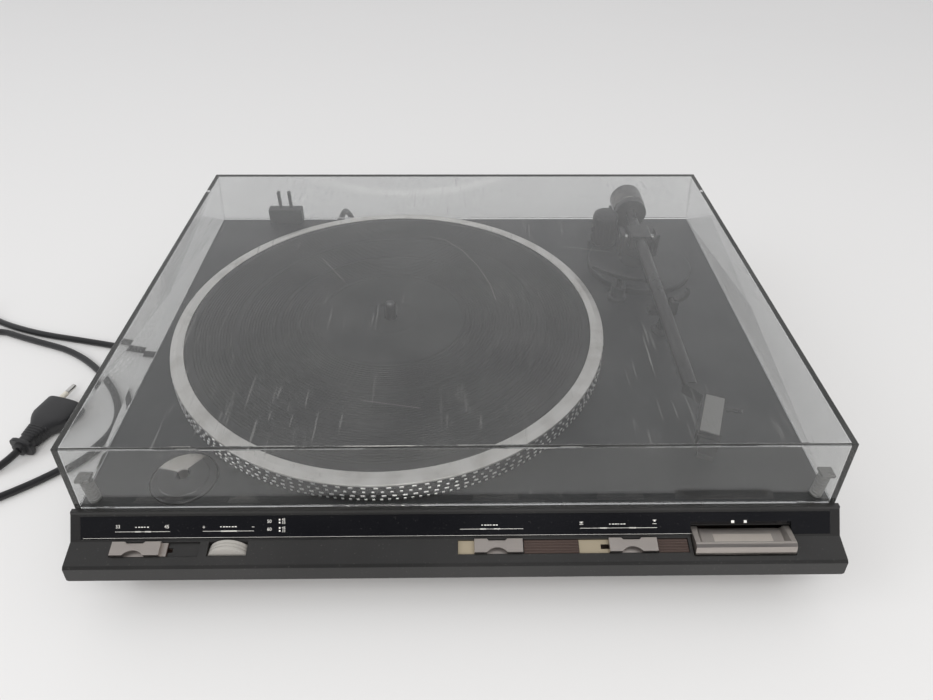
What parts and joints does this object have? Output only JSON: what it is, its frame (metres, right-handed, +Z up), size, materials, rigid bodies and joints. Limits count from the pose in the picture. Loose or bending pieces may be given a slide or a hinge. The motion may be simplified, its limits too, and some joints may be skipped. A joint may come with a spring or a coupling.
{
  "type": "turntable record player",
  "caption": "Belt-drive automatic record player with a closed clear hinged dust cover, straight tonearm, slider controls along the front, and a loose mains cord with a flat two-pin plug.",
  "frame": {"origin": "middle of the player's footprint (without its mains cord), on the surface that the feet stand on", "axes": "+Z up, +X towards the tonearm side (the user's right), +Y towards the back, where the cover's hinges are"},
  "size_m": [0.6952, 0.4451, 0.098],
  "materials": {
    "black_satin": "satin black moulded plastic",
    "black_gloss": "gloss black",
    "clear_smoked": "lightly smoked clear plastic",
    "silver_paint": "satin silver paint",
    "cream_plastic": "satin",
    "brown_plastic": "satin, ribbed",
    "aluminium_turned": "turned",
    "aluminium_cast": "satin",
    "black_rubber": "matt",
    "steel": "bright",
    "chrome": "polished",
    "brass": "plain",
    "dark_metal": "semi-gloss dark grey paint",
    "board_green": "satin"
  },
  "bodies": {
    "plinth": {"cabinet": "black_satin", "base_pan": "black_satin", "base_screws": "steel", "feet": "black_rubber", "fascia": "black_satin", "label_window": "black_gloss", "ribbed_trims": "brown_plastic", "indicator_strips": "cream_plastic", "front_switches": "dark_metal", "pitch_potentiometer": "dark_metal", "button_spring": "steel", "bearing_bush": "brass", "thrust_ball": "steel", "drive_belt": "black_rubber", "drive_motor": "steel", "motor_bracket": "steel", "motor_mounts": "black_rubber", "transformer": "dark_metal", "servo_board": "board_green", "cord_gland": "black_rubber", "rear_terminals": "dark_metal", "hinge_sockets": "black_satin", "hinge_pins": "steel", "arm_base": "black_satin", "arm_rest": "black_satin", "lift_cylinder": "black_satin", "mains_cord_out": "black_gloss", "mains_cord_coil": "black_gloss", "mains_cord_plug_end": "black_gloss", "mains_plug": "black_satin", "plug_pins": "chrome"},
    "cover": {"dust_cover": "clear_smoked", "dust_cover_front": "clear_smoked", "cover_bumpers": "black_rubber", "hinge_leaf_left": "black_satin", "hinge_leaf_right": "black_satin"},
    "platter": {"platter": "aluminium_cast", "platter_mat": "black_rubber", "spindle": "steel"},
    "motor_rotor": {"motor_pulley": "brass"},
    "arm_yoke": {"arm_yoke": "black_gloss", "pivot_screws": "steel"},
    "tonearm": {"arm_bearing_block": "black_gloss", "arm_tube": "dark_metal", "headshell": "black_satin", "shell_plate": "aluminium_turned", "cartridge": "black_satin", "stylus_unit": "black_gloss", "finger_lift": "black_satin"},
    "counterweight": {"counterweight": "chrome"},
    "force_dial": {"force_dial": "black_satin"},
    "arm_clip": {"arm_clip": "black_gloss"},
    "lift": {"lift_bar": "black_satin"},
    "anti_skate_dial": {"anti_skate_dial": "black_satin"},
    "speed_slider": {"speed_slider": "silver_paint"},
    "repeat_slider": {"repeat_slider": "silver_paint"},
    "cueing_slider": {"cueing_slider": "silver_paint"},
    "pitch_wheel": {"pitch_wheel": "cream_plastic"},
    "start_button": {"start_button": "silver_paint"},
    "record_adapter": {"record_adapter": "aluminium_turned"}
  },
  "joints": [
    {"name": "cover_hinge", "type": "hinge", "parent": "plinth", "child": "cover", "pos_m": [0, 0.1746, 0.0495], "axis": [-1, 0, 0], "range_deg": [0, 62]},
    {"name": "platter_spin", "type": "hinge", "parent": "plinth", "child": "platter", "pos_m": [-0.0475, 0.0077, 0.05], "axis": [0, 0, 1], "continuous": true},
    {"name": "motor_spin", "type": "hinge", "parent": "plinth", "child": "motor_rotor", "pos_m": [-0.13094, 0.09114, 0.05], "axis": [0, 0, 1], "continuous": true},
    {"name": "arm_swing", "type": "hinge", "parent": "plinth", "child": "arm_yoke", "pos_m": [0.1473, 0.097, 0.0805], "axis": [0, 0, -1], "range_deg": [0, 47.5]},
    {"name": "arm_tilt", "type": "hinge", "parent": "arm_yoke", "child": "tonearm", "pos_m": [0.1473, 0.097, 0.0805], "axis": [-0.9997, 0.0244, 0], "range_deg": [-0.85, 2]},
    {"name": "counterweight_screw", "type": "hinge", "parent": "tonearm", "child": "counterweight", "pos_m": [0.1473, 0.097, 0.0805], "axis": [0.0244, 0.9997, 0], "continuous": true},
    {"name": "force_dial_turn", "type": "hinge", "parent": "counterweight", "child": "force_dial", "pos_m": [0.1473, 0.097, 0.0805], "axis": [0.0244, 0.9997, 0], "range_deg": [0, 350]},
    {"name": "arm_clip_hinge", "type": "hinge", "parent": "plinth", "child": "arm_clip", "pos_m": [0.1544, 0.009, 0.0786], "axis": [0, -1, 0], "range_deg": [0, 90]},
    {"name": "cueing_slide", "type": "slide", "parent": "plinth", "child": "cueing_slider", "axis": [1, 0, 0], "range_m": [-0.015, 0]},
    {"name": "lift_travel", "type": "slide", "parent": "plinth", "child": "lift", "axis": [0, 0, 1], "range_m": [-0.005, 0]},
    {"name": "anti_skate_turn", "type": "hinge", "parent": "plinth", "child": "anti_skate_dial", "pos_m": [0.1255, 0.127, 0.06], "axis": [0, 0, 1], "range_deg": [-150, 150]},
    {"name": "speed_slide", "type": "slide", "parent": "plinth", "child": "speed_slider", "axis": [1, 0, 0], "range_m": [0, 0.017]},
    {"name": "repeat_slide", "type": "slide", "parent": "plinth", "child": "repeat_slider", "axis": [1, 0, 0], "range_m": [-0.0083, 0]},
    {"name": "pitch_turn", "type": "hinge", "parent": "plinth", "child": "pitch_wheel", "pos_m": [-0.1276, -0.1662, 0.0316], "axis": [0, 1, 0], "range_deg": [-120, 120]},
    {"name": "start_press", "type": "slide", "parent": "plinth", "child": "start_button", "axis": [0, 0, -1], "range_m": [0, 0.0025], "stiffness_N_per_m": 600, "deforming": ["button_spring"]},
    {"name": "adapter_lift", "type": "slide", "parent": "plinth", "child": "record_adapter", "axis": [0, 0, 1], "range_m": [0, 0.012]}
  ],
  "couplings": [
    {"joint": "motor_spin", "follows": "platter_spin", "ratio": 14.692},
    {"joint": "lift_travel", "follows": "cueing_slide", "ratio": 0.33333}
  ]
}
